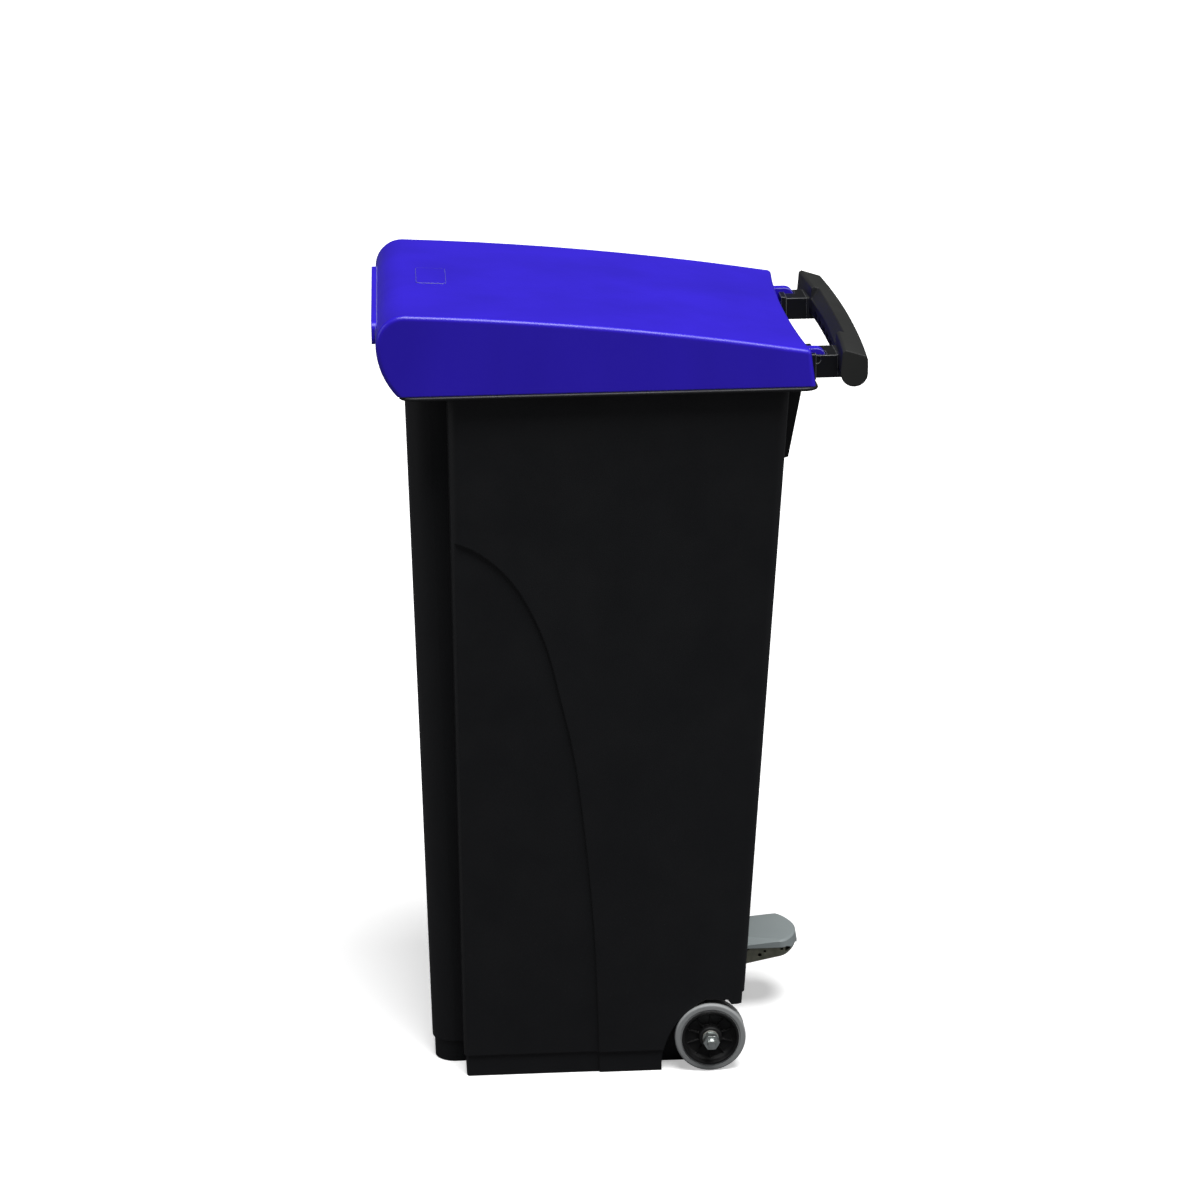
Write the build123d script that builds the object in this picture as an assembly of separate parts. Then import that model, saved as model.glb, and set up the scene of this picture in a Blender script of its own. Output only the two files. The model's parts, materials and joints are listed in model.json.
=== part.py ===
"""A two-wheeled pedal bin of about 110 litres: moulded tub, hinged lid, handle grip, wheels and pedal.

Origin on the ground below the middle of the whole bin, +Z up, -Y the front (lid lip), +Y the rear
(handle, wheels, pedal), X along the axle. Millimetres. The solids are in the rest position: lid
closed, pedal up.
"""
from build123d import *
from math import asin, atan2, cos, degrees, radians, sin, sqrt
import os

os.makedirs("parts", exist_ok=True)

# ---- tub -------------------------------------------------------------------------------------
RIM_WIDTH = 420.0        # across the rim flange
RIM_FRONT = -238.4       # front edge of the flange
RIM_REAR = 207.6         # rear edge of the flange
RIM_TOP = 792.0          # height of the flange above the ground
RIM_THICK = 4.0
RIM_CORNER = 16.0
CHEEK_HALF = RIM_WIDTH / 2 - 14   # half the width over the two side panels
CHEEK_FRONT = -187.4     # front edge of the side panels
CHEEK_CORNER = 11.0
REAR_TOP = 178.8         # rear wall at the rim
REAR_BASE = 123.2        # rear wall carried down to the ground
NOSE_HALF = CHEEK_HALF - 44       # half the width of the narrower front
NOSE_TOP = -233.0        # front wall at the rim
NOSE_BASE = -221.8       # front wall at the ground
NOSE_CORNER = 26.0
WALL = 3.5
PANEL_STEP = 3.0         # the upper panel stands this proud of the lower one
PANEL_SOFTNESS = 2.0
SKIRT_HEIGHT = 25.0
SKIRT_INSET = 2.5
SKIRT_STEP = 2.0         # of the skirt under the lower panel, inside that panel
FRONT_FLOOR = 28.0       # inside floor height at the front
FIT_GAP = 0.3            # between parts that do not bear on each other
SNUG = 0.02              # around parts pressed or glued in one body
PAST = 1.0               # how far a cutter runs past the face it cuts

# ---- wheels and axle -------------------------------------------------------------------------
WHEEL_RADIUS = 40.0
WHEEL_Y = 90.0
REAR_FLOOR = WHEEL_RADIUS + 55    # inside floor height over the axle
BAY_FRONT = WHEEL_Y - 56.5        # front wall of the axle bay
WHEEL_WIDTH = 24.0
HUB_RADIUS = 32.2
TYRE_SHOULDER = 5.0
RIBS = 10
RIB_HALF = 0.6
RIB_PROUD = 2.0
AXLE_RADIUS = 6.0
AXLE_END_RADIUS = 5.0    # turned down and threaded for the nuts
AXLE_FIT = 0.05          # radial running clearance
BUSH_RADIUS = 9.0
WELL_WALL_X = CHEEK_HALF - 27.5   # outer side of the wall between wheel and axle bay
WELL_BACK = 19.6         # that wall ends this far behind the axle
AXLE_BOSS_RADIUS = AXLE_RADIUS + 6
AXLE_BOSS_LENGTH = 6.0
ARCH_CLEARANCE = 5.0
SPACER_LENGTH = 8.0
SPACER_RADIUS = 11.0
WASHER_THICK = 2.0
NUT_FLATS = 16.0
NUT_THICK = 10.5
AXLE_OVERHANG = 4.5      # thread beyond the nut
BUSH_PROUD = 0.5

# ---- lid -------------------------------------------------------------------------------------
LID_HALF = RIM_WIDTH / 2 - 3
LID_RISE = 88.0          # top of the lid above the rim
LID_WALL = 3.0
LID_FRONT = -261.7
LID_NOSE_RADIUS = 31.0
LID_EDGE_SOFT = 5.0
LID_REAR_BASE = 204.6    # rear wall of the lid at its outer corners
LID_REAR_LEAN = 5.0      # how far that wall leans forward over its height
LID_REAR_RISE = 38.5     # height of the rear wall
LID_REAR_BOW = 8.0       # how far the middle of the rear wall stands forward
LID_CROWN = 7.0          # how far the top bulges over its chord
LIP_HALF = NOSE_HALF - 2
LIP_CORNER = 8.0
LIP_HEIGHT = 25.0
LIP_PROUD = 4.3
LIP_BELOW_TOP = 31.5     # middle of the lip below the top of the lid
PLATE_LENGTH = 80.0      # plain pad on top of the lid
PLATE_DEPTH = 33.0
PLATE_PROUD = 0.8
PLATE_Y = -200.0
BUFFER_RADIUS = 6.0
BUFFER_HEIGHT = 9.0
STRIKE_PLATE = 1.5
STRIKE_HALF = 11.0

# ---- lid hinge and handle --------------------------------------------------------------------
HINGE_Y = 209.6
HINGE_RISE = 20.0        # hinge axis above the rim
KNUCKLE_RADIUS = 11.0
PIN_RADIUS = 4.0
PIN_FIT = 0.05
PIN_INSET = 6.0          # from the arm's inner side to the blind end of its bore
ARM_INNER = RIM_WIDTH / 2 - 90
ARM_WIDTH = 46.0
LUG_INNER = ARM_INNER + 26
LUG_WIDTH = 15.0
LUG_PLAY = 0.5           # on each side of the lug in its slot
ARM_HEIGHT = 24.7
ARM_ROOT_Y = 202.5
TENON_LENGTH = 16.0
TENON_INSET = 10.0       # from the arm's side to the tenon's
TENON_HALF = 7.0         # half its height
ARM_SINK = 1.5           # how far the arm enters the grip
GUSSET_HEIGHT = 90.0
GUSSET_THICK = 4.0
GRIP_HALF = RIM_WIDTH / 2 - 4.4
GRIP_INNER = 230.6       # inner face of the grip at its ends
GRIP_DEPTH = 29.0
GRIP_BOW = 6.4
GRIP_TOP_RISE = 39.0     # inner top edge above the rim
GRIP_TOP_DROP = 7.0      # the top slopes down to the outside by this much
GRIP_SCREW_STEP = 8.0
FINGER_PITCH = 34.0
FINGER_RADIUS = 12.0
FINGER_HEIGHT = 24.0

# ---- pedal gear ------------------------------------------------------------------------------
PIVOT_Y = 128.0
PIVOT_Z = WHEEL_RADIUS + 29
SHAFT_RADIUS = 5.0
LEVER_ARM = 48.0         # from the pivot to the push rod
LEVER_REST = 20.0        # degrees the inner arm hangs below level at rest
ROD_RADIUS = 3.0
TIP_RADIUS = 5.0
CAP_LENGTH = 16.0
TIP_FORWARD = 17.0       # rod tip ahead of the lid hinge
TIP_BELOW = 12.5         # rod tip below the lid hinge
STRIKE_GAP = 1.7         # free travel between the rod tip and the lid
LID_OPENING = 88.0       # degrees
PEDAL_HALF = 45.0
PEDAL_END = 212.0
PEDAL_TOP = PIVOT_Z + 20
TREAD_LIP = PEDAL_TOP - 9          # lower edge of the tread's sides
TREAD_END_RADIUS = 60.0
TREAD_CORNER = 12.0
TREAD_DRAFT = 4.5        # how far the tread's base stands out beyond its top
TREAD_SOFT = 2.0
FACET_ROOT = 26.0        # where the tread's side facets start at the tub, from the middle
FACET_END = 42.0
TREAD_END_WALL = 13.0
FLANGE_THICK = 2.5       # upright sides of the foot plate
FLANGE_FRONT_GAP = 5.0
CHANNEL_HALF = 20.0      # recess in the rear wall for the push rod
CHANNEL_DEPTH = 12.0     # its back wall ahead of the rod
GUIDE_HEIGHTS = (260.0, 620.0)
GUIDE_HALF = 15.0
GUIDE_HALF_HEIGHT = 8.0
GUIDE_BACK = 7.0         # behind the rod's line
GUIDE_FIT = 0.1
GUIDE_SCREW_X = 10.0
BRACKET_HALF = 40.0
BRACKET_THICK = 3.0
BRACKET_FRONT = PIVOT_Y - 36
BRACKET_SLIT = 14.0      # half the slit the push rod passes through
SHAFT_FIT = 0.05
SHAFT_END = 5.0          # the shaft's length beyond the bracket
RING_PROUD = 4.0         # of the shaft rings over the shaft
RING_THICK = 1.5
LEVER_TUBE_RADIUS = 8.5
LEVER_TUBE_HALF = BRACKET_HALF - BRACKET_THICK - 0.5
EAR_INNER = 6.0          # the lever's two ears on the push rod
EAR_THICK = 4.0
HOOK_PLAY = 1.2
HOOK_SLIDE = 3.2
HOOK_SHIFT = -2.9        # the slot's middle is this much nearer the pivot
PEDAL_PLATE_THICK = 3.0
PLATE_LOW = PIVOT_Z - 7.5          # underside of the foot plate near the tub
PLATE_LOW_Y = PIVOT_Y + 20.6
PLATE_SLOPE = 0.20       # how steeply the plate rises to the rear
COVER_FRONT = PIVOT_Y + 13
COVER_POST = 5.0         # half the width of its screw posts
COVER_SEAT = 0.05        # between the cover and the foot plate
SCREW_RADIUS = 2.0
SCREW_HEAD = 4.0
SCREW_REACH = 4.0        # of the cover screws beyond the foot plate

HINGE_Z = RIM_TOP + HINGE_RISE
LID_BASE = RIM_TOP + FIT_GAP
LID_TOP = RIM_TOP + LID_RISE
WHEEL_IN = WELL_WALL_X + SPACER_LENGTH + FIT_GAP   # inner face of the wheel
WHEEL_OUT = WHEEL_IN + WHEEL_WIDTH
AXLE_SHOULDER = WHEEL_OUT + 2 * BUSH_PROUD         # the full bore of the axle ends here
NUT_START = AXLE_SHOULDER + WASHER_THICK
AXLE_END = NUT_START + NUT_THICK + AXLE_OVERHANG
LEVER_DROP = radians(LEVER_REST)
ROD_FOOT = Vector(0, PIVOT_Y - LEVER_ARM * cos(LEVER_DROP), PIVOT_Z - LEVER_ARM * sin(LEVER_DROP))
ROD_TIP = Vector(0, HINGE_Y - TIP_FORWARD, HINGE_Z - TIP_BELOW)
ROD_LINE = (ROD_TIP - ROD_FOOT).normalized()


# ---- helpers ---------------------------------------------------------------------------------
def block(x0, x1, y0, y1, z0, z1):
    """A box between two corners."""
    return Pos((x0 + x1) / 2, (y0 + y1) / 2, (z0 + z1) / 2) * Box(x1 - x0, y1 - y0, z1 - z0)


def across(face, x0, x1):
    """A side-view face (drawn in Y and Z) carried along X."""
    return extrude(Plane.YZ.offset(x0) * face, x1 - x0)


def outline(*edges):
    """A side-view face from edges drawn in local x and y."""
    return make_face(Wire([edge for part in edges for edge in part.edges()]))


def rod_x(radius, x0, x1, y, z):
    """A round bar along X."""
    return Pos((x0 + x1) / 2, y, z) * Rot(0, 90, 0) * Cylinder(radius, x1 - x0)


def both_sides(shape):
    """The shape and its mirror image across X."""
    return [shape, mirror(shape, Plane.YZ)]


def rod_y_at(z):
    """Where the push rod's line is at a height."""
    return ROD_FOOT.Y + (z - ROD_FOOT.Z) * ROD_LINE.Y / ROD_LINE.Z


def rear_y(z):
    return REAR_BASE + (REAR_TOP - REAR_BASE) * z / RIM_TOP


def nose_y(z):
    return NOSE_BASE + (NOSE_TOP - NOSE_BASE) * z / RIM_TOP


def group(solids):
    return Compound(children=list(solids))


# ---- tub -------------------------------------------------------------------------------------
def section(half, y0, y1, corner, z):
    """A rounded rectangle at a height."""
    return Pos(0, (y0 + y1) / 2, z) * RectangleRounded(2 * half, y1 - y0, corner)


def column(inset_x, inset_y, z0, z1):
    """The tub's plan, cheeks and nose, lofted between two heights."""
    corner = max(CHEEK_CORNER - inset_y, 2.0)
    nose_corner = max(NOSE_CORNER - inset_y, 2.0)
    overlap = CHEEK_FRONT + 60.0
    half = CHEEK_HALF - inset_x
    front = CHEEK_FRONT + inset_y
    cheeks = [section(half, front, rear_y(z) - inset_y, corner, z) for z in (z0, z1)]
    half = NOSE_HALF - inset_y
    nose = [section(half, nose_y(z) + inset_y, overlap, nose_corner, z) for z in (z0, z1)]
    return loft(cheeks, ruled=True) + loft(nose, ruled=True)


def panel_recess():
    """The lower front part of a side panel, set back behind a long curved step, and its skirt."""
    curve = Spline(
        (CHEEK_FRONT - 5, 628), (-165.4, 619), (-142.9, 603), (-120.4, 578), (-102, 545), (-87.2, 508),
        (-72.8, 447), (-62, 398), (-51.3, 322), (-44.4, 247), (-38.4, 153), (-36.6, 89), (-35.3, -1),
    )
    close = Polyline((-35.3, -1), (CHEEK_FRONT - 5, -1), (CHEEK_FRONT - 5, 628))
    face = outline(curve, close)
    recess = across(face, CHEEK_HALF - PANEL_STEP, CHEEK_HALF + 5)
    skirt = across(face, CHEEK_HALF - PANEL_STEP - SKIRT_STEP, CHEEK_HALF)
    return recess + (skirt & block(0, CHEEK_HALF, RIM_FRONT, RIM_REAR, -PAST, SKIRT_HEIGHT))


def wheel_arch():
    """The opening in a side panel around the wheel."""
    radius = WHEEL_RADIUS + ARCH_CLEARANCE
    front = WHEEL_Y - radius - 10
    top = WHEEL_RADIUS + radius
    sweep_in = ThreePointArc((front, -1), (WHEEL_Y - 0.76 * radius, 0.73 * top), (WHEEL_Y - 5, top))
    rest = Polyline(
        (WHEEL_Y - 5, top), (WHEEL_Y + 20, top - 1), (WHEEL_Y + 24, top - 6.5), (REAR_TOP, top - 6.5),
        (REAR_TOP, -1), (front, -1),
    )
    return across(outline(sweep_in, rest), WELL_WALL_X, CHEEK_HALF + 5)


def channel(half, ahead):
    """The rod recess: everything behind a plane that runs ahead of the push rod."""
    low, high = REAR_FLOOR - WALL - 1, RIM_TOP - RIM_THICK
    face = Polyline(
        (rod_y_at(low) - ahead, low), (rod_y_at(high) - ahead, high), (RIM_REAR, high), (RIM_REAR, low),
        close=True,
    )
    return across(make_face(face), -half, half)


def tub_cavity():
    top = RIM_TOP + 1
    inset_x = WALL + PANEL_STEP
    main = column(inset_x, WALL, REAR_FLOOR, top)
    low = column(inset_x, WALL, FRONT_FLOOR, REAR_FLOOR + 1)
    low -= block(-RIM_WIDTH, RIM_WIDTH, BAY_FRONT - WALL, REAR_TOP, 0, REAR_FLOOR)
    return main + low - channel(CHANNEL_HALF + WALL, CHANNEL_DEPTH + WALL)


def underside():
    """The hollow below the floor: front pan, axle bay and the two wheel wells."""
    ceiling = REAR_FLOOR - WALL
    pan = column(SKIRT_INSET + PANEL_STEP + WALL, SKIRT_INSET + WALL, -1, FRONT_FLOOR - WALL)
    pan -= block(-RIM_WIDTH, RIM_WIDTH, BAY_FRONT - 2 * WALL, REAR_TOP, -2, FRONT_FLOOR)
    bay_half = WELL_WALL_X - WALL
    bay = block(-bay_half, bay_half, BAY_FRONT, REAR_TOP, -1, ceiling)
    well = block(WELL_WALL_X, CHEEK_HALF - WALL, BAY_FRONT, REAR_TOP, -1, ceiling)
    behind = block(bay_half - 1, WELL_WALL_X + 1, WHEEL_Y + 19.6, REAR_TOP, -1, ceiling)
    cuts = [pan, bay]
    for part in (well, behind, wheel_arch(), panel_recess()):
        cuts += both_sides(part)
    return cuts


def rim():
    flange = Pos(0, (RIM_FRONT + RIM_REAR) / 2, RIM_TOP - RIM_THICK) * extrude(
        RectangleRounded(RIM_WIDTH, RIM_REAR - RIM_FRONT, RIM_CORNER), RIM_THICK
    )
    edges = flange.faces().sort_by(Axis.Z)[-1].edges() + flange.faces().sort_by(Axis.Z)[0].edges()
    return fillet(edges, RIM_THICK * 0.42)


def handle_arm():
    """One arm behind the lid, with its gusset, lug slot and tenon for the grip."""
    x0, x1 = ARM_INNER, ARM_INNER + ARM_WIDTH
    top, mid = RIM_TOP + ARM_HEIGHT, RIM_TOP + ARM_HEIGHT / 2
    arm = block(x0, x1, ARM_ROOT_Y, GRIP_INNER + ARM_SINK, RIM_TOP, top)
    arm += block(x0 - 2, x1 + 4, ARM_ROOT_Y, ARM_ROOT_Y + 6, RIM_TOP - 1, top + 2)
    tenon_end = GRIP_INNER + TENON_LENGTH
    low, high = mid - TENON_HALF, mid + TENON_HALF
    arm += block(x0 + TENON_INSET, x1 - TENON_INSET, GRIP_INNER, tenon_end, low, high)
    under, foot = RIM_TOP - RIM_THICK + 0.5, RIM_TOP - GUSSET_HEIGHT
    web = make_face(
        Polyline(
            (rear_y(foot) - 2, foot), (rear_y(foot) + 7, foot + 3), (RIM_REAR - 12, under),
            (rear_y(under) - 2, under), close=True,
        )
    )
    arm += across(web, x0 + 2, x0 + 2 + GUSSET_THICK) + across(web, x1 - 2 - GUSSET_THICK, x1 - 2)
    slot_x0, slot_x1 = LUG_INNER - LUG_PLAY, LUG_INNER + LUG_WIDTH + LUG_PLAY
    reach = KNUCKLE_RADIUS + LUG_PLAY
    slot = block(slot_x0, slot_x1, ARM_ROOT_Y - PAST, HINGE_Y, HINGE_Z - reach, top + 5)
    slot += rod_x(reach, slot_x0, slot_x1, HINGE_Y, HINGE_Z)
    slot += block(slot_x0, slot_x1, HINGE_Y, HINGE_Y + reach, HINGE_Z, top + 5)
    bore = rod_x(PIN_RADIUS + PIN_FIT, x0 + PIN_INSET, x1 + PAST, HINGE_Y, HINGE_Z)
    return arm - slot - bore


def body_shell():
    """The moulded tub with its rim, arms and skirt."""
    shell = column(0, 0, SKIRT_HEIGHT, RIM_TOP - RIM_THICK / 2)
    shell += column(SKIRT_INSET, SKIRT_INSET, 0, SKIRT_HEIGHT)
    shell += rim()
    for arm in both_sides(handle_arm()):
        shell += arm
    shell -= tub_cavity()
    shell -= channel(CHANNEL_HALF, CHANNEL_DEPTH)
    for cut in underside():
        shell -= cut
    well_inside = WELL_WALL_X - WALL
    boss = rod_x(AXLE_BOSS_RADIUS, well_inside - AXLE_BOSS_LENGTH, well_inside, WHEEL_Y, WHEEL_RADIUS)
    for part in both_sides(boss):
        shell += part
    shell -= rod_x(AXLE_RADIUS + AXLE_FIT, -WELL_WALL_X - PAST, WELL_WALL_X + PAST, WHEEL_Y, WHEEL_RADIUS)
    slot_y = rod_y_at(RIM_TOP)
    half_x, half_y = TIP_RADIUS + 2, TIP_RADIUS + 3
    rod_slot = Box(2 * half_x, 2 * half_y, RIM_THICK + 2 * PAST)
    shell -= Pos(0, slot_y, RIM_TOP - RIM_THICK / 2) * rod_slot
    for x, y in bracket_holes():
        shell -= Pos(x, y, REAR_FLOOR - WALL) * Cylinder(SCREW_RADIUS + FIT_GAP, 4 * WALL)
    return shell


# ---- handle grip -----------------------------------------------------------------------------
def handle_grip():
    """The soft-cornered grip: a bowed bar with a flat sloping top and a round underside."""
    y0, y1 = GRIP_INNER, GRIP_INNER + GRIP_DEPTH
    bottom, top = RIM_TOP - 1, RIM_TOP + GRIP_TOP_RISE
    mid = (y0 + y1) / 2
    side = outline(
        Line((y0, bottom + 16), (y0 + 2, top - 2)),
        Line((y0 + 2, top - 2), (y0 + 5, top)),
        Line((y0 + 5, top), (y1 - 2, top - GRIP_TOP_DROP)),
        Line((y1 - 2, top - GRIP_TOP_DROP), (y1, top - GRIP_TOP_DROP - 4)),
        Line((y1, top - GRIP_TOP_DROP - 4), (y1, bottom + 14)),
        ThreePointArc((y1, bottom + 14), (mid, bottom), (y0, bottom + 16)),
    )
    radius = (GRIP_HALF**2 + GRIP_BOW**2) / (2 * GRIP_BOW)
    centre_y = mid + GRIP_BOW - radius
    turn = degrees(2 * asin(GRIP_HALF / (radius - GRIP_DEPTH)))
    spin_axis = Axis((0, centre_y, 0), (0, 0, 1))
    bar = revolve(Plane.YZ * Pos(GRIP_BOW, 0) * side, spin_axis, revolution_arc=turn)
    bar = Pos(0, centre_y, 0) * Rot(0, 0, -turn / 2) * Pos(0, -centre_y, 0) * bar
    bar = bar & block(-GRIP_HALF, GRIP_HALF, y0 - 5, y1 + 20, bottom - 5, top + 5)
    hand = ARM_INNER - 6
    scoop = make_face(
        Polyline(
            (y0 - 5, top - 14), (y0 + 7, top - 14), (y0 + 19, top + 4), (y0 - 5, top + 4), close=True,
        )
    )
    bar -= across(scoop, -hand, hand)
    for i in range(-2, 3):
        bar -= Pos(i * FINGER_PITCH, y0 + PAST, bottom + 7) * Cylinder(FINGER_RADIUS, FINGER_HEIGHT)
    x0, x1 = ARM_INNER - FIT_GAP, ARM_INNER + ARM_WIDTH + FIT_GAP
    tenon_mid, tenon_half = RIM_TOP + ARM_HEIGHT / 2, TENON_HALF + FIT_GAP
    socket = block(
        x0 + TENON_INSET, x1 - TENON_INSET, y0 - 5, y0 + TENON_LENGTH + FIT_GAP, tenon_mid - tenon_half,
        tenon_mid + tenon_half,
    )
    mouth = block(x0, x1, y0 - 5, y0 + ARM_SINK + FIT_GAP, RIM_TOP - 2, RIM_TOP + ARM_HEIGHT + FIT_GAP)
    heel = block(ARM_INNER, ARM_INNER + ARM_WIDTH, y0 + ARM_SINK, y0 + 10, RIM_TOP, RIM_TOP + ARM_HEIGHT)
    for part in both_sides(heel):
        bar += part
    for cut in both_sides(socket + mouth):
        bar -= cut
    for x, y in grip_screw_places():
        bar -= Pos(x, y, RIM_TOP + 2) * Cylinder(SCREW_RADIUS + FIT_GAP, 30)
        bar -= Pos(x, y, RIM_TOP - 3) * Cylinder(SCREW_HEAD + FIT_GAP, 16)
    return bar


def grip_screw_places():
    middle = ARM_INNER + ARM_WIDTH / 2
    y = GRIP_INNER + TENON_LENGTH / 2 + 1
    steps = (-GRIP_SCREW_STEP, GRIP_SCREW_STEP)
    return [(side * (middle + step), y) for side in (-1, 1) for step in steps]


def screw(length, head_height=2.0):
    """A pan-head screw pointing up, its head's underside at the origin."""
    head = Pos(0, 0, -head_height / 2) * Cylinder(SCREW_HEAD, head_height)
    head = fillet(head.edges().group_by(Axis.Z)[0], head_height * 0.4)
    return head + Pos(0, 0, length / 2) * Cylinder(SCREW_RADIUS, length)


def grip_screws():
    """Screws from below, seated in their counterbores and reaching the tenon's underside."""
    seat = RIM_TOP + 5
    under_tenon = RIM_TOP + ARM_HEIGHT / 2 - TENON_HALF
    return group(Pos(x, y, seat) * screw(under_tenon - seat - 0.1) for x, y in grip_screw_places())


# ---- lid -------------------------------------------------------------------------------------
def lid_blank(inset):
    """The lid's outer form, or its hollow when inset by the wall."""
    top = LID_TOP - inset
    base = LID_BASE if inset == 0 else LID_BASE - 1
    radius = LID_NOSE_RADIUS - inset
    nose_y0 = LID_FRONT + LID_NOSE_RADIUS
    nose_z = LID_TOP - LID_NOSE_RADIUS
    front = LID_FRONT + inset
    rear_top = LID_BASE + LID_REAR_RISE - inset
    far = RIM_REAR + 20
    slope = (LID_TOP - LID_BASE - LID_REAR_RISE) / (LID_REAR_BASE - LID_REAR_LEAN - nose_y0)
    far_z = rear_top - slope * 1.12 * (far - LID_REAR_BASE + LID_REAR_LEAN)
    mid_y = (nose_y0 + LID_REAR_BASE - LID_REAR_LEAN) / 2
    mid_z = (top + rear_top) / 2 + LID_CROWN
    lean = sqrt(0.5) * radius
    foot_y = front + 21.3
    face = outline(
        Line((far, base), (far, far_z)),
        ThreePointArc((far, far_z), (mid_y, mid_z), (nose_y0, top)),
        ThreePointArc((nose_y0, top), (nose_y0 - lean, nose_z + lean), (front, nose_z)),
        ThreePointArc((front, nose_z), (front + 6.6, (nose_z + base) / 2 - 5), (foot_y, base)),
        Line((foot_y, base), (far, base)),
    )
    half = LID_HALF - inset
    blank = across(face, -half, half)
    lean_line = Vector(0, -LID_REAR_LEAN, LID_REAR_RISE).normalized()
    rear_y0 = LID_REAR_BASE - inset
    rear_edge = ThreePointArc((-LID_HALF, rear_y0), (0, rear_y0 - LID_REAR_BOW), (LID_HALF, rear_y0))
    wide = LID_HALF + 20
    beyond = Polyline(
        (LID_HALF, rear_y0), (wide, rear_y0 + 2), (wide, far + 20), (-wide, far + 20), (-wide, rear_y0 + 2),
        (-LID_HALF, rear_y0),
    )
    behind = Pos(0, 0, LID_BASE) * make_face(Wire([rear_edge] + list(beyond.edges())))
    steps = 60.0
    cut = extrude(behind, steps / lean_line.Z, dir=lean_line)
    cut += extrude(behind, 6 / lean_line.Z, dir=-lean_line)
    blank -= cut
    soft = LID_EDGE_SOFT - inset
    upper = [e for e in blank.edges() if e.center().Z > LID_BASE + 1]
    crest = [e for e in upper if abs(abs(e.center().X) - half) < 0.5]
    middle = [e for e in upper if abs(e.center().X) < 1 and e.center().Y > 150]
    crest += [e for e in middle if e.center().Z > LID_BASE + 9]
    return fillet(crest, max(soft, 1.5))


def lid_lug():
    """A hinge lug behind the lid: web and knuckle, bored for the pin."""
    x0, x1 = LUG_INNER, LUG_INNER + LUG_WIDTH
    inside = LID_REAR_BASE - LID_REAR_BOW - LID_WALL + 1
    web = make_face(
        Polyline(
            (inside, HINGE_Z - 6), (HINGE_Y, HINGE_Z - KNUCKLE_RADIUS), (HINGE_Y, HINGE_Z + KNUCKLE_RADIUS),
            (inside, HINGE_Z + KNUCKLE_RADIUS), close=True,
        )
    )
    lug = across(web, x0, x1) + rod_x(KNUCKLE_RADIUS, x0, x1, HINGE_Y, HINGE_Z)
    return lug


def strike_frame():
    """Unit vectors at the rod tip: away from the lid hinge, and the way the lid pushes off."""
    away = Vector(0, -TIP_FORWARD, -TIP_BELOW).normalized()
    turn = Vector(0, away.Z, -away.Y)
    return away, turn


def strike_slab(near, far, low, high, half):
    """A slab above the rod tip: radial span, distance from the tip's line, half width."""
    away, turn = strike_frame()
    hinge = Vector(0, HINGE_Y, HINGE_Z)
    corners = [hinge + away * r + turn * t for r, t in ((near, low), (far, low), (far, high), (near, high))]
    face = make_face(Polyline([(p.Y, p.Z) for p in corners], close=True))
    return across(face, -half, half)


def strike_levels():
    plate = TIP_RADIUS + STRIKE_GAP
    return plate, plate + STRIKE_PLATE


def lid_shell():
    shell = lid_blank(0) - lid_blank(LID_WALL)
    lip_z = LID_TOP - LIP_BELOW_TOP
    lip = Plane.XZ * Pos(0, lip_z) * RectangleRounded(2 * LIP_HALF, LIP_HEIGHT, 8)
    lip = Pos(0, LID_FRONT + LID_WALL * 0.6, 0) * extrude(lip, LIP_PROUD + LID_WALL * 0.6)
    shell += lip
    for lug in both_sides(lid_lug()):
        shell += lug
    shell -= rod_x(PIN_RADIUS + PIN_FIT, -LID_HALF, LID_HALF, HINGE_Y, HINGE_Z) & (
        block(LUG_INNER - 5, LUG_INNER + LUG_WIDTH + 5, 0, HINGE_Y + 30, RIM_TOP, LID_TOP)
        + block(-LUG_INNER - LUG_WIDTH - 5, -LUG_INNER + 5, 0, HINGE_Y + 30, RIM_TOP, LID_TOP)
    )
    roof = strike_levels()[1]
    shell += strike_slab(9.0, 34.0, roof, roof + 9, STRIKE_HALF + 3)
    shell -= strike_slab(-6.0, 50.0, -22, roof, STRIKE_HALF)
    return shell


def strike_plate():
    plate, roof = strike_levels()
    return strike_slab(11.0, 33.0, plate, roof, STRIKE_HALF - FIT_GAP)


def lid_pad():
    """A plain raised pad that follows the top of the lid."""
    prism = Pos(0, PLATE_Y, LID_TOP - 20) * extrude(RectangleRounded(PLATE_LENGTH, PLATE_DEPTH, 5), 40)
    return prism & (lid_blank(-PLATE_PROUD) - lid_blank(0))


def lid_buffers():
    """Rubber stops on the rim flange just inside the lid's side walls."""
    x = LID_HALF - LID_WALL - BUFFER_RADIUS - 1.5
    places = [(side * x, y) for side in (-1, 1) for y in (RIM_FRONT + 35, RIM_REAR - 45)]
    stop = Cylinder(BUFFER_RADIUS, BUFFER_HEIGHT)
    stop = fillet(stop.edges().group_by(Axis.Z)[-1], 2.0)
    return group(Pos(px, py, RIM_TOP + BUFFER_HEIGHT / 2) * stop for px, py in places)


def hinge_pin():
    """The pin through the arm and the lid lug, on the +X side."""
    start = ARM_INNER + PIN_INSET + LUG_PLAY
    end = ARM_INNER + ARM_WIDTH - LUG_PLAY
    pin = rod_x(PIN_RADIUS, start, end, HINGE_Y, HINGE_Z)
    return chamfer(pin.edges(), 0.6)


# ---- wheels ----------------------------------------------------------------------------------
def turned(points):
    """A ring about the axle from its half section: pairs of distance along X and radius."""
    face = make_face(Polyline([(x, WHEEL_RADIUS + r) for x, r in points], close=True))
    ring = revolve(face, Axis((0, WHEEL_RADIUS, 0), (1, 0, 0)))
    return Pos(0, WHEEL_Y, WHEEL_RADIUS) * Rot(90, 0, 0) * Pos(0, -WHEEL_RADIUS, 0) * ring


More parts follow.
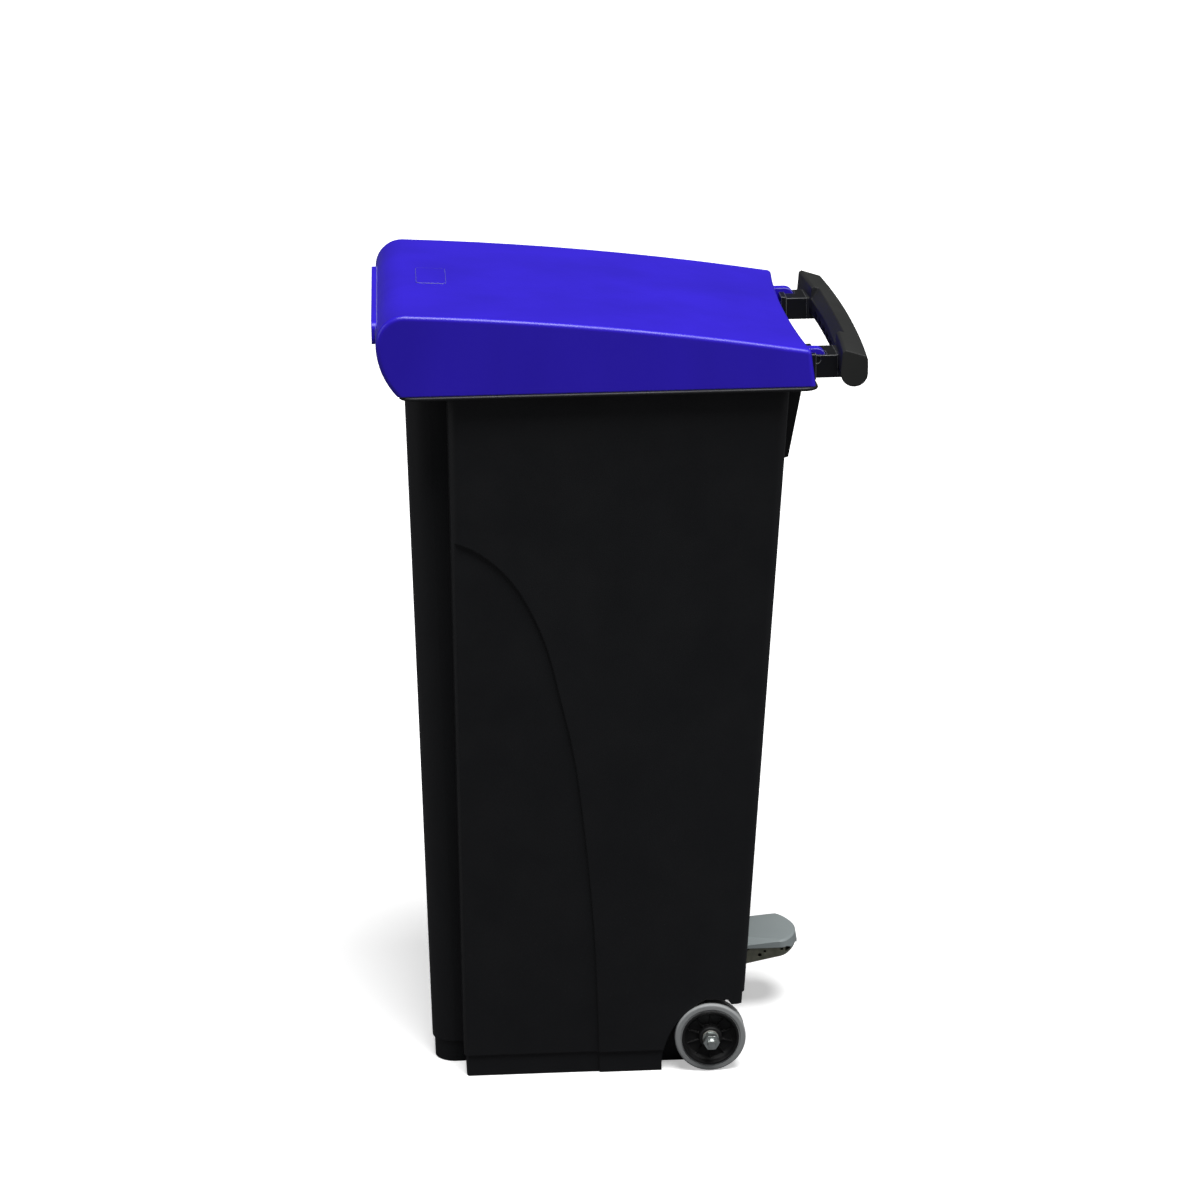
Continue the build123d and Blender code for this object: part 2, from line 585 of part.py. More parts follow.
def tyre():
    x0, x1 = WHEEL_IN + 1, WHEEL_OUT - 1
    ring = turned([(x0, HUB_RADIUS), (x1, HUB_RADIUS), (x1, WHEEL_RADIUS), (x0, WHEEL_RADIUS)])
    rims = [e for e in ring.edges().filter_by(GeomType.CIRCLE) if e.radius > WHEEL_RADIUS - 0.1]
    return fillet(rims, TYRE_SHOULDER)


def hub():
    """A dished wheel centre with radial ribs, bored for the bush."""
    edge = HUB_RADIUS - 0.05
    web = WHEEL_IN + WHEEL_WIDTH / 2 - 3
    nave = BUSH_RADIUS + 4
    bore = BUSH_RADIUS + 0.05
    body = turned([
        (WHEEL_IN, bore), (WHEEL_OUT, bore), (WHEEL_OUT, nave), (web + 4, nave + 1), (web + 4, edge - 5),
        (WHEEL_OUT, edge - 2.5), (WHEEL_OUT, edge), (WHEEL_IN, edge), (WHEEL_IN, edge - 3), (web, edge - 5),
        (web, nave + 1), (WHEEL_IN, nave),
    ])
    rib = block(web + 1, web + 4 + RIB_PROUD, -RIB_HALF, RIB_HALF, nave, edge - 5)
    for i in range(RIBS):
        body += Pos(0, WHEEL_Y, WHEEL_RADIUS) * Rot((i + 0.5) * 360 / RIBS, 0, 0) * rib
    return body


def hub_bush():
    x0, x1 = WHEEL_IN - BUSH_PROUD * 0.5, WHEEL_OUT + BUSH_PROUD
    inner = AXLE_RADIUS + AXLE_FIT
    return turned([(x0, inner), (x1, inner), (x1, BUSH_RADIUS), (x0, BUSH_RADIUS)])


def axle():
    bar = rod_x(AXLE_RADIUS, -AXLE_SHOULDER, AXLE_SHOULDER, WHEEL_Y, WHEEL_RADIUS)
    thread = rod_x(AXLE_END_RADIUS, -AXLE_END, AXLE_END, WHEEL_Y, WHEEL_RADIUS)
    return bar + chamfer(thread.edges(), 1.0)


def axle_spacers():
    """Sleeves on the axle between the tub wall and each wheel."""
    x0, x1 = WELL_WALL_X, WELL_WALL_X + SPACER_LENGTH
    inner = AXLE_RADIUS + AXLE_FIT
    sleeve = turned([(x0, inner), (x1, inner), (x1, SPACER_RADIUS), (x0, SPACER_RADIUS)])
    return group(both_sides(sleeve))


def axle_washers():
    inner = AXLE_END_RADIUS + 0.2
    outer = NUT_FLATS * 0.56
    x0, x1 = AXLE_SHOULDER, NUT_START
    return group(both_sides(turned([(x0, inner), (x1, inner), (x1, outer), (x0, outer)])))


def axle_nut():
    body = extrude(RegularPolygon(NUT_FLATS / 2, 6, major_radius=False), NUT_THICK)
    cone = Pos(0, 0, NUT_THICK / 2) * Cylinder(NUT_FLATS / 2 * 1.155, NUT_THICK)
    cone = chamfer(cone.edges().group_by(Axis.Z)[-1], 1.0)
    body = (body & cone) - Cylinder(AXLE_END_RADIUS + SNUG, 4 * NUT_THICK)
    return Pos(NUT_START, WHEEL_Y, WHEEL_RADIUS) * Rot(0, 90, 0) * body


# ---- pedal gear ------------------------------------------------------------------------------
def bracket_holes():
    rows = (BRACKET_FRONT + 6, BRACKET_FRONT + 22)
    return [(side * (BRACKET_HALF - 10), y) for side in (-1, 1) for y in rows]


def pedal_bracket():
    """The folded steel bracket below the rear floor that carries the pedal shaft."""
    top = REAR_FLOOR - WALL
    rear = PIVOT_Y + 8
    plate = block(-BRACKET_HALF, BRACKET_HALF, BRACKET_FRONT, rear_y(top) - 4, top - BRACKET_THICK, top)
    face = make_face(
        Polyline(
            (BRACKET_FRONT + 12, top), (rear_y(top) - 4, top), (rear, PIVOT_Z + 6), (rear, PIVOT_Z - 6),
            (PIVOT_Y + 3, PIVOT_Z - 10), (PIVOT_Y - 6, PIVOT_Z - 10), close=True,
        )
    )
    ear = across(face, BRACKET_HALF - BRACKET_THICK, BRACKET_HALF)
    part = plate
    for side in both_sides(ear):
        part += side
    low = top - BRACKET_THICK - PAST
    part -= block(-BRACKET_SLIT, BRACKET_SLIT, BRACKET_FRONT - PAST, PIVOT_Y - 12, low, top + PAST)
    part -= rod_x(SHAFT_RADIUS + SHAFT_FIT, -BRACKET_HALF - PAST, BRACKET_HALF + PAST, PIVOT_Y, PIVOT_Z)
    for x, y in bracket_holes():
        part -= Pos(x, y, top) * Cylinder(SCREW_RADIUS + FIT_GAP, 4 * BRACKET_THICK)
    return part


def bracket_screws():
    seat = REAR_FLOOR - WALL - BRACKET_THICK
    return group(Pos(x, y, seat) * screw(BRACKET_THICK + WALL + 3) for x, y in bracket_holes())


def pedal_shaft():
    half = BRACKET_HALF + SHAFT_END
    shaft = rod_x(SHAFT_RADIUS, -half, half, PIVOT_Y, PIVOT_Z)
    return chamfer(shaft.edges(), 0.8)


def shaft_rings():
    """Push-on rings that hold the shaft in its bracket."""
    x0 = BRACKET_HALF + FIT_GAP
    x1 = x0 + RING_THICK
    ring = rod_x(SHAFT_RADIUS + RING_PROUD, x0, x1, PIVOT_Y, PIVOT_Z)
    ring -= rod_x(SHAFT_RADIUS + SNUG, x0 - PAST, x1 + PAST, PIVOT_Y, PIVOT_Z)
    return group(both_sides(ring))


def pedal_lever():
    """The steel lever: tube on the shaft, two ears out to the push rod and the foot plate."""
    tube = rod_x(LEVER_TUBE_RADIUS, -LEVER_TUBE_HALF, LEVER_TUBE_HALF, PIVOT_Y, PIVOT_Z)
    end = LEVER_ARM + 7
    ear = Polyline((0, -7), (LEVER_ARM, -6.5), (end, -3), (end, 3), (LEVER_ARM, 6.5), (0, 7), close=True)
    arm = across(make_face(ear), EAR_INNER, EAR_INNER + EAR_THICK)
    slot_half = ROD_RADIUS + HOOK_PLAY
    slot = across(SlotOverall(2 * (slot_half + HOOK_SLIDE), 2 * slot_half), 0, EAR_INNER + 2 * EAR_THICK)
    arm -= Pos(0, LEVER_ARM + HOOK_SHIFT, 0) * slot
    arm = Pos(0, PIVOT_Y, PIVOT_Z) * Rot(180 + LEVER_REST, 0, 0) * arm
    plate = foot_plate()
    lever = tube + plate
    for part in both_sides(arm):
        lever += part
    lever -= rod_x(SHAFT_RADIUS + SHAFT_FIT, -BRACKET_HALF, BRACKET_HALF, PIVOT_Y, PIVOT_Z)
    for x, y in cover_screw_places():
        lever -= Pos(x, y, plate_z(y)) * Cylinder(SCREW_RADIUS + FIT_GAP, 20)
    return lever


def cover_screw_places():
    return [(side * 20.0, y) for side in (-1, 1) for y in (PEDAL_END - 45, PEDAL_END - 22)]


def plate_z(y):
    """Height of the foot plate's underside."""
    return PLATE_LOW + (y - PLATE_LOW_Y) * PLATE_SLOPE


def foot_plate():
    """The sloping plate under the tread, with drain holes and two upright sides."""
    y0, y1, half = COVER_FRONT, PEDAL_END - TREAD_DRAFT, PEDAL_HALF - 3
    thick = PEDAL_PLATE_THICK
    root = PIVOT_Z - LEVER_TUBE_RADIUS
    side = Polyline(
        (PIVOT_Y, root), (y0, plate_z(y0)), (y1, plate_z(y1)), (y1, plate_z(y1) + thick),
        (y0, plate_z(y0) + thick), (PIVOT_Y, root + thick), close=True,
    )
    plate = across(make_face(side), -half, half)
    flange_y0, flange_y1 = y0 + FLANGE_FRONT_GAP, PEDAL_END - TREAD_END_WALL - 2
    brow = TREAD_LIP - 0.5
    upright = Polyline(
        (flange_y0, plate_z(flange_y0)), (flange_y1, plate_z(flange_y1)), (flange_y1, brow - 4),
        (flange_y1 - 4, brow), (flange_y0 + 4, brow), (flange_y0, brow - 4), close=True,
    )
    flange = across(make_face(upright), half - FLANGE_THICK, half)
    for y, rise, radius in ((flange_y0 + 16, 7, 2.2), (flange_y0 + 22, 10, 1.6), (flange_y1 - 9, 8, 1.8)):
        flange -= rod_x(radius, half - 2 * FLANGE_THICK, half + PAST, y, plate_z(y) + rise)
    for part in both_sides(flange):
        plate += part
    plate &= extrude(tread_plan(half, y1), RIM_TOP)
    for part in both_sides(block(LEVER_TUBE_HALF, 2 * half, 0, COVER_FRONT, 0, RIM_TOP)):
        plate -= part
    for x in (-30, 0, 30):
        plate -= Pos(x, PEDAL_END - 34, PLATE_LOW) * Cylinder(3.0, 40)
    return plate


def tread_plan(half, end):
    """The tread's outline from above: straight sides and a bowed far end with soft corners."""
    meet = end - TREAD_END_RADIUS + sqrt(TREAD_END_RADIUS**2 - half**2)
    start = PIVOT_Y
    edge = ThreePointArc((-half, meet), (0, end), (half, meet))
    rest = Polyline((half, meet), (half, start), (-half, start), (-half, meet))
    face = make_face(Wire(list(edge.edges()) + list(rest.edges())))
    return fillet(face.vertices().sort_by(Axis.Y)[-2:], TREAD_CORNER)


def pedal_cover():
    """The grey tread: a cap on the foot plate, drafted, with open sides over the plate's flanges."""
    y0, y1 = COVER_FRONT, PEDAL_END
    top = PEDAL_TOP
    rest = PEDAL_PLATE_THICK + COVER_SEAT
    low = plate_z(y0)
    plans = (
        Pos(0, 0, low) * tread_plan(PEDAL_HALF, y1),
        Pos(0, 0, top) * tread_plan(PEDAL_HALF - TREAD_DRAFT / 2, y1 - TREAD_DRAFT),
    )
    cap = loft(plans, ruled=True)
    cap -= block(-PEDAL_HALF - PAST, PEDAL_HALF + PAST, PIVOT_Y - PAST, y0, 0, RIM_TOP)
    for slope in both_sides(tread_slope()):
        cap -= slope
    brow = cap.edges().filter_by(lambda edge: edge.center().Z > top - 0.01 and edge.center().Y > y1 - 30)
    cap = chamfer(brow, TREAD_SOFT)
    start, stop, end = y0 - PAST, y1 - TREAD_DRAFT + COVER_SEAT, y1 + PAST
    seat = Polyline(
        (start, low), (start, plate_z(start) + rest), (stop, plate_z(y1) + rest), (stop, plate_z(y1)),
        (end, plate_z(y1)), (end, low - PAST), (start, low - PAST), close=True,
    )
    cap -= across(make_face(seat), -PEDAL_HALF - PAST, PEDAL_HALF + PAST)
    back = y1 - TREAD_END_WALL
    opening = Polyline(
        (y0 + 3, low), (y0 + 3, TREAD_LIP - 2), (y0 + 7, TREAD_LIP), (back - 5, TREAD_LIP),
        (back, TREAD_LIP - 3), (back, low), close=True,
    )
    cap -= across(make_face(opening), -PEDAL_HALF - PAST, PEDAL_HALF + PAST)
    for x, y in cover_screw_places():
        near, far = y - COVER_POST, y + COVER_POST
        foot_near, foot_far = plate_z(near) + rest, plate_z(far) + rest
        post = Polyline((near, foot_near), (far, foot_far), (far, top - 3), (near, top - 3), close=True)
        cap += across(make_face(post), x - COVER_POST, x + COVER_POST)
        cap -= Pos(x, y, plate_z(y)) * Cylinder(SCREW_RADIUS + SNUG, 2 * (SCREW_REACH + PEDAL_PLATE_THICK))
    return cap


def tread_slope():
    """What the tread's top loses towards one side: a facet that widens towards the tub."""
    corners = [Vector(FACET_ROOT, COVER_FRONT, PEDAL_TOP), Vector(FACET_END, PEDAL_END - 16, PEDAL_TOP)]
    down = Vector(PEDAL_HALF, COVER_FRONT, TREAD_LIP + 3)
    normal = (corners[1] - corners[0]).cross(down - corners[0])
    if normal.Z < 0:
        normal = normal * -1
    size = 2 * RIM_REAR
    return Plane(corners[0], z_dir=normal) * Pos(0, 0, size / 2) * Box(size, size, size)


def cover_screws():
    length = PEDAL_PLATE_THICK + SCREW_REACH - 0.5
    drop = SCREW_HEAD * PLATE_SLOPE
    return group(Pos(x, y, plate_z(y) - drop) * screw(length, 1.8) for x, y in cover_screw_places())


def push_rod():
    """The straight steel rod with its cross pin through the lever's slots."""
    length = (ROD_TIP - ROD_FOOT).length - TIP_RADIUS - 1
    frame = Plane(ROD_FOOT, x_dir=(1, 0, 0), z_dir=ROD_LINE)
    stem = frame * Pos(0, 0, length / 2) * Cylinder(ROD_RADIUS, length)
    pin = rod_x(ROD_RADIUS, -EAR_INNER - EAR_THICK - 4, EAR_INNER + EAR_THICK + 4, ROD_FOOT.Y, ROD_FOOT.Z)
    return stem + pin + Pos(ROD_FOOT.X, ROD_FOOT.Y, ROD_FOOT.Z) * Sphere(ROD_RADIUS + 1.2)


def rod_cap():
    """The round-nosed plastic cap on the rod's upper end."""
    frame = Plane(ROD_TIP, x_dir=(1, 0, 0), z_dir=ROD_LINE)
    cap = Sphere(TIP_RADIUS) + Pos(0, 0, -CAP_LENGTH / 2) * Cylinder(TIP_RADIUS, CAP_LENGTH)
    cap -= Pos(0, 0, -CAP_LENGTH / 2 - TIP_RADIUS - 1) * Cylinder(ROD_RADIUS + SNUG, CAP_LENGTH)
    return frame * cap


def rod_pin_rings():
    x0 = EAR_INNER + EAR_THICK + 0.5
    ring = rod_x(ROD_RADIUS + 2.5, x0, x0 + 1.2, ROD_FOOT.Y, ROD_FOOT.Z)
    ring -= rod_x(ROD_RADIUS + SNUG, x0 - PAST, x0 + 1.2 + PAST, ROD_FOOT.Y, ROD_FOOT.Z)
    return group(both_sides(ring))


def along_rod(height):
    """The place on the push rod's line at a height, turned with it."""
    return Pos(0, rod_y_at(height), height) * Rot(-degrees(atan2(ROD_LINE.Y, ROD_LINE.Z)), 0, 0)


def rod_guide(height):
    """A guide block in the recess of the rear wall, bored for the rod."""
    front = -CHANNEL_DEPTH * ROD_LINE.Z
    body = block(-GUIDE_HALF, GUIDE_HALF, front, GUIDE_BACK, -GUIDE_HALF_HEIGHT, GUIDE_HALF_HEIGHT)
    body -= Cylinder(ROD_RADIUS + GUIDE_FIT, 4 * GUIDE_HALF_HEIGHT)
    for x in (-GUIDE_SCREW_X, GUIDE_SCREW_X):
        body -= Pos(x, 0, 0) * Rot(90, 0, 0) * Cylinder(SCREW_RADIUS + SNUG, 4 * CHANNEL_DEPTH)
    return along_rod(height) * body


def guide_screws():
    length = GUIDE_BACK + CHANNEL_DEPTH * ROD_LINE.Z - 0.2
    one = Rot(90, 0, 0) * screw(length)
    places = [(x, height) for height in GUIDE_HEIGHTS for x in (-GUIDE_SCREW_X, GUIDE_SCREW_X)]
    return group(along_rod(height) * Pos(x, GUIDE_BACK, 0) * one for x, height in places)


# ---- every node ------------------------------------------------------------------------------
def mirrored(name, shape):
    """The same piece on both sides: +X is the right-hand side seen from the rear."""
    return {name + "_right": shape, name + "_left": mirror(shape, Plane.YZ)}


def nodes():
    parts = {
        "body_shell": body_shell(),
        "handle_grip": handle_grip(),
        "grip_screws": grip_screws(),
        "lid_shell": lid_shell(),
        "lid_pad": lid_pad(),
        "strike_plate": strike_plate(),
        "lid_buffers": lid_buffers(),
        "axle": axle(),
        "axle_spacers": axle_spacers(),
        "axle_washers": axle_washers(),
        "pedal_bracket": pedal_bracket(),
        "bracket_screws": bracket_screws(),
        "pedal_shaft": pedal_shaft(),
        "shaft_rings": shaft_rings(),
        "pedal_lever": pedal_lever(),
        "pedal_cover": pedal_cover(),
        "cover_screws": cover_screws(),
        "push_rod": push_rod(),
        "rod_cap": rod_cap(),
        "rod_pin_rings": rod_pin_rings(),
        "rod_guide_lower": rod_guide(GUIDE_HEIGHTS[0]),
        "rod_guide_upper": rod_guide(GUIDE_HEIGHTS[1]),
        "guide_screws": guide_screws(),
    }
    for name, shape in (
        ("hinge_pin", hinge_pin()), ("tyre", tyre()), ("wheel_hub", hub()), ("hub_bush", hub_bush()),
        ("axle_nut", axle_nut()),
    ):
        parts.update(mirrored(name, shape))
    return parts


if __name__ == "__main__":
    for node, shape in nodes().items():
        export_step(shape, f"parts/{node}.step")
        print(node, round(sum(s.volume for s in shape.solids())))
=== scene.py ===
# %% [markdown]
# # A two-wheeled pedal bin
# The moulded tub, lid, wheels and pedal gear come ready as solids in one shared frame. This lesson
# gives them their finishes, adds the pieces that need finer modelling than a solid has, and lights
# the whole as a studio picture. Every length is in metres.

# %% Load the solids
import json
import math
import bmesh
import bpy
from mathutils import Matrix, Vector

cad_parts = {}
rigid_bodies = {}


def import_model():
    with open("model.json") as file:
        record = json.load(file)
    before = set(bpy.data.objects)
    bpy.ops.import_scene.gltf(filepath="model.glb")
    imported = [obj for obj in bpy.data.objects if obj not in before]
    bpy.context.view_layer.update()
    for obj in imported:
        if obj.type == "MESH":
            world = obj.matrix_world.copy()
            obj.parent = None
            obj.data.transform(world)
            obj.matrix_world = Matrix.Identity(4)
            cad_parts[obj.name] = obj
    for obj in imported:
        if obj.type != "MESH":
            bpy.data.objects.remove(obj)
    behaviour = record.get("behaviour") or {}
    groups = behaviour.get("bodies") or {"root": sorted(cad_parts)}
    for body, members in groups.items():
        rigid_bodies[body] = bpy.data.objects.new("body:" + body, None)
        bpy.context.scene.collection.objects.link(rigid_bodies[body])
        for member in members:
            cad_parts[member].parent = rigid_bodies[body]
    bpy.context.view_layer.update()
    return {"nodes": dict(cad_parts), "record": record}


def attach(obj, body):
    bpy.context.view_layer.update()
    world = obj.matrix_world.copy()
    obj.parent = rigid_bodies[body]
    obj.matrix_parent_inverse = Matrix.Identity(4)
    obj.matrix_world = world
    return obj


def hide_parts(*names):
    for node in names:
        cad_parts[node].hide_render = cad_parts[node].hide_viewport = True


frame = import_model()

# %% [markdown]
# ## Camera
# The bin is seen from its right side, a little from the front, from well above lid height. A long
# lens keeps the sides nearly parallel, as a catalogue picture does.

# %% Camera
CAMERA_PLACE = Vector((3.80345, -0.23144, 1.68373))
CAMERA_TURN = 0.0563     # radians the camera turns from -X towards +Y
CAMERA_DIP = 0.3018      # radians it looks down
CAMERA_ROLL = -0.0129
LENS = 104.99


def camera_axes():
    """Right, up and forward of the camera from its three angles."""
    forward = Vector((
        -math.cos(CAMERA_TURN) * math.cos(CAMERA_DIP), math.sin(CAMERA_TURN) * math.cos(CAMERA_DIP),
        -math.sin(CAMERA_DIP),
    ))
    level = Vector((math.sin(CAMERA_TURN), math.cos(CAMERA_TURN), 0))
    upright = (-forward).cross(level)
    right = math.cos(CAMERA_ROLL) * level + math.sin(CAMERA_ROLL) * upright
    up = -math.sin(CAMERA_ROLL) * level + math.cos(CAMERA_ROLL) * upright
    return right, up, forward


right, up, forward = camera_axes()
camera_data = bpy.data.cameras.new("camera")
camera_data.lens = LENS
camera_data.sensor_width = 36
camera = bpy.data.objects.new("camera", camera_data)
bpy.context.collection.objects.link(camera)
turn = Matrix((right, up, -forward)).transposed().to_4x4()
camera.matrix_world = Matrix.Translation(CAMERA_PLACE) @ turn
bpy.context.scene.camera = camera
bpy.context.scene.view_settings.view_transform = "Standard"

# %% [markdown]
# ## Floor and light
# A pale floor runs past every edge of the picture. One wide, soft sun stands almost overhead, leaning
# a little towards the camera: it makes the floor evenly white and the top of the lid bright, and
# gives the upright sides about a third as much. The floor gives back little light, so the tub stays
# as dark as black moulded plastic does in a studio. To the camera alone the floor also glows a
# little, which keeps its shadows pale. Two strips draw highlights on the round corners.

# %% Floor and light
scene_objects = bpy.context.collection.objects
FLOOR_GLOW = 0.42         # emission of the floor, seen by the camera only


def pale_floor():
    bpy.ops.mesh.primitive_plane_add(size=80, location=(0, 0, -0.0005))
    floor = bpy.context.object
    floor.name = "floor"
    material = bpy.data.materials.new("pale_floor")
    material.use_nodes = True
    nodes, links = material.node_tree.nodes, material.node_tree.links
    shader = nodes["Principled BSDF"]
    shader.inputs["Roughness"].default_value = 0.9
    shader.inputs["Specular IOR Level"].default_value = 0.0
    path = nodes.new("ShaderNodeLightPath")
    mix = nodes.new("ShaderNodeMix")
    mix.data_type = "RGBA"
    mix.inputs["A"].default_value = (0.10, 0.10, 0.105, 1)
    mix.inputs["B"].default_value = (0.95, 0.95, 0.95, 1)
    links.new(path.outputs["Is Camera Ray"], mix.inputs["Factor"])
    links.new(mix.outputs["Result"], shader.inputs["Base Color"])
    shader.inputs["Emission Color"].default_value = (1, 1, 1, 1)
    glow = nodes.new("ShaderNodeMath")
    glow.operation = "MULTIPLY"
    glow.inputs[1].default_value = FLOOR_GLOW
    links.new(path.outputs["Is Camera Ray"], glow.inputs[0])
    links.new(glow.outputs["Value"], shader.inputs["Emission Strength"])
    floor.data.materials.append(material)


def aim_lamp(lamp, place, aim):
    scene_objects.link(lamp)
    lamp.location = place
    lamp.rotation_euler = (Vector(aim) - Vector(place)).to_track_quat("-Z", "Y").to_euler()


def soft_sun(name, place, strength, spread):
    data = bpy.data.lights.new(name, "SUN")
    data.energy = strength
    data.angle = math.radians(spread)
    aim_lamp(bpy.data.objects.new(name, data), place, (0, 0, 0))


def soft_panel(name, place, aim, width, height, power):
    data = bpy.data.lights.new(name, "AREA")
    data.shape = "RECTANGLE"
    data.size = width
    data.size_y = height
    data.energy = power
    aim_lamp(bpy.data.objects.new(name, data), place, aim)


def studio_world(strength):
    world = bpy.data.worlds.new("studio")
    world.use_nodes = True
    background = world.node_tree.nodes["Background"]
    background.inputs["Color"].default_value = (1, 1, 1, 1)
    background.inputs["Strength"].default_value = strength
    bpy.context.scene.world = world


pale_floor()
studio_world(0.05)
soft_sun("overhead", (1.1, 0.45, 4.0), 3.5, 34)
soft_panel("rear_strip", (1.2, 3.2, 2.6), (0, 0.2, 0.6), 1.2, 2.4, 26)
soft_panel("front_strip", (0.8, -3.4, 2.2), (0, -0.2, 0.6), 1.2, 2.4, 20)

# %% [markdown]
# ## Finishes
# A moulded plastic has a fine grain, slightly uneven colour and gloss, and edges that are never quite
# sharp. All of it is drawn from noise on object coordinates, so the grain keeps its real size on
# every piece. A Bevel node rounds the shading of the sharp edges.

# %% Finish helpers


class Finish:
    """A Principled material with handy ways to add noise-driven colour, gloss and relief."""

    def __init__(self, name, colour, rough, metal=0.0):
        self.material = bpy.data.materials.new(name)
        self.material.use_nodes = True
        self.nodes = self.material.node_tree.nodes
        self.links = self.material.node_tree.links
        self.shader = self.nodes["Principled BSDF"]
        self.shader.inputs["Base Color"].default_value = (*colour, 1)
        self.shader.inputs["Roughness"].default_value = rough
        self.shader.inputs["Metallic"].default_value = metal
        self.colour = colour
        self.where = self.nodes.new("ShaderNodeTexCoord").outputs["Object"]
        self.normal = None

    def stretched(self, scale):
        mapping = self.nodes.new("ShaderNodeMapping")
        mapping.inputs["Scale"].default_value = scale
        self.links.new(self.where, mapping.inputs["Vector"])
        return mapping.outputs["Vector"]

    def noise(self, scale, detail=2.0, vector=None, rough=0.5):
        node = self.nodes.new("ShaderNodeTexNoise")
        node.inputs["Scale"].default_value = scale
        node.inputs["Detail"].default_value = detail
        node.inputs["Roughness"].default_value = rough
        self.links.new(vector or self.where, node.inputs["Vector"])
        return node.outputs["Fac"]

    def ramp(self, value, low, high, start=0.0, end=1.0):
        """The value from start..end remapped to low..high."""
        node = self.nodes.new("ShaderNodeMapRange")
        node.inputs["From Min"].default_value = start
        node.inputs["From Max"].default_value = end
        node.inputs["To Min"].default_value = low
        node.inputs["To Max"].default_value = high
        self.links.new(value, node.inputs["Value"])
        return node.outputs["Result"]

    def mottle(self, value, other, low=0.35, high=0.65):
        """Mixes the base colour towards another one where the value is high."""
        mix = self.nodes.new("ShaderNodeMix")
        mix.data_type = "RGBA"
        current = self.shader.inputs["Base Color"]
        if current.is_linked:
            self.links.new(current.links[0].from_socket, mix.inputs["A"])
        else:
            mix.inputs["A"].default_value = (*self.colour, 1)
        mix.inputs["B"].default_value = (*other, 1)
        self.links.new(self.ramp(value, 0, 1, low, high), mix.inputs["Factor"])
        self.links.new(mix.outputs["Result"], current)

    def gloss(self, value, low, high, start=0.3, end=0.7):
        self.links.new(self.ramp(value, low, high, start, end), self.shader.inputs["Roughness"])

    def soften(self, radius):
        node = self.nodes.new("ShaderNodeBevel")
        node.samples = 6
        node.inputs["Radius"].default_value = radius
        self.normal = node.outputs["Normal"]
        self.links.new(self.normal, self.shader.inputs["Normal"])

    def painted_edge_highlight(self, radius, other, above=None):
        """Mixes a painted highlight colour in along the sharp edges, on all heights or only above one."""
        rounded = self.nodes.new("ShaderNodeBevel")
        rounded.samples = 6
        rounded.inputs["Radius"].default_value = radius
        surface = self.nodes.new("ShaderNodeNewGeometry")
        agree = self.nodes.new("ShaderNodeVectorMath")
        agree.operation = "DOT_PRODUCT"
        self.links.new(rounded.outputs["Normal"], agree.inputs[0])
        self.links.new(surface.outputs["Normal"], agree.inputs[1])
        value = self.ramp(agree.outputs["Value"], 1, 0, 0.80, 0.99)
        if above is not None:
            height = self.nodes.new("ShaderNodeSeparateXYZ")
            self.links.new(self.where, height.inputs["Vector"])
            both = self.nodes.new("ShaderNodeMath")
            both.operation = "MULTIPLY"
            self.links.new(value, both.inputs[0])
            self.links.new(self.ramp(height.outputs["Z"], 0, 1, above, above + 0.001), both.inputs[1])
            value = both.outputs["Value"]
        self.mottle(value, other, 0.0, 1.0)

    def relief(self, value, depth, strength=1.0):
        node = self.nodes.new("ShaderNodeBump")
        node.inputs["Strength"].default_value = strength
        node.inputs["Distance"].default_value = depth
        self.links.new(value, node.inputs["Height"])
        if self.normal is not None:
            self.links.new(self.normal, node.inputs["Normal"])
        self.normal = node.outputs["Normal"]
        self.links.new(self.normal, self.shader.inputs["Normal"])


def moulded(name, colour, other, rough_low, rough_high, grain=1400.0, depth=0.00012, soft=0.0008):
    """Injection-moulded plastic: grain, faint flow marks and uneven gloss."""
    finish = Finish(name, colour, rough_low)
    finish.soften(soft)
    flow = finish.noise(7.0, 3.0, finish.stretched((1.0, 1.0, 0.35)))
    finish.mottle(flow, other)
    finish.gloss(finish.noise(18.0, 4.0), rough_low, rough_high)
    finish.relief(finish.noise(grain, 1.0), depth, 0.5)
    finish.relief(finish.noise(9.0, 1.0), 0.0012, 0.12)
    return finish


def plated(name, colour, other, rough_low, rough_high):
    """Zinc-plated steel: fine drawing marks and a slight crystal mottle."""
    finish = Finish(name, colour, rough_low, metal=1.0)
    finish.soften(0.0004)
    finish.mottle(finish.noise(160.0, 3.0), other)
    finish.gloss(finish.noise(420.0, 2.0), rough_low, rough_high)
    finish.relief(finish.noise(900.0, 1.0, finish.stretched((0.08, 1.0, 1.0))), 0.00008, 0.4)
    return finish


# %% Finishes of this bin
tub_black = moulded(
    "tub_black", (0.0032, 0.0038, 0.0052), (0.0022, 0.0026, 0.0038), 0.46, 0.58, 1100.0, 0.00020, 0.0020
)
lid_blue = moulded(
    "lid_blue", (0.036, 0.0135, 0.72), (0.030, 0.0110, 0.62), 0.32, 0.40, 1600.0, 0.00006, 0.0022
)
grip_black = moulded(
    "grip_black", (0.024, 0.025, 0.024), (0.018, 0.019, 0.018), 0.46, 0.58, 900.0, 0.00025, 0.0025
)
hub_black = moulded("hub_black", (0.0022, 0.0022, 0.0026), (0.0034, 0.0034, 0.0036), 0.50, 0.62)
pedal_grey = moulded("pedal_grey", (0.335, 0.375, 0.375), (0.300, 0.340, 0.345), 0.42, 0.52, 1300.0, 0.00015)
tyre_grey = moulded("tyre_grey", (0.350, 0.362, 0.362), (0.310, 0.322, 0.324), 0.55, 0.68, 800.0, 0.00018)
nylon = moulded("bush_nylon", (0.52, 0.51, 0.46), (0.46, 0.45, 0.40), 0.45, 0.55)
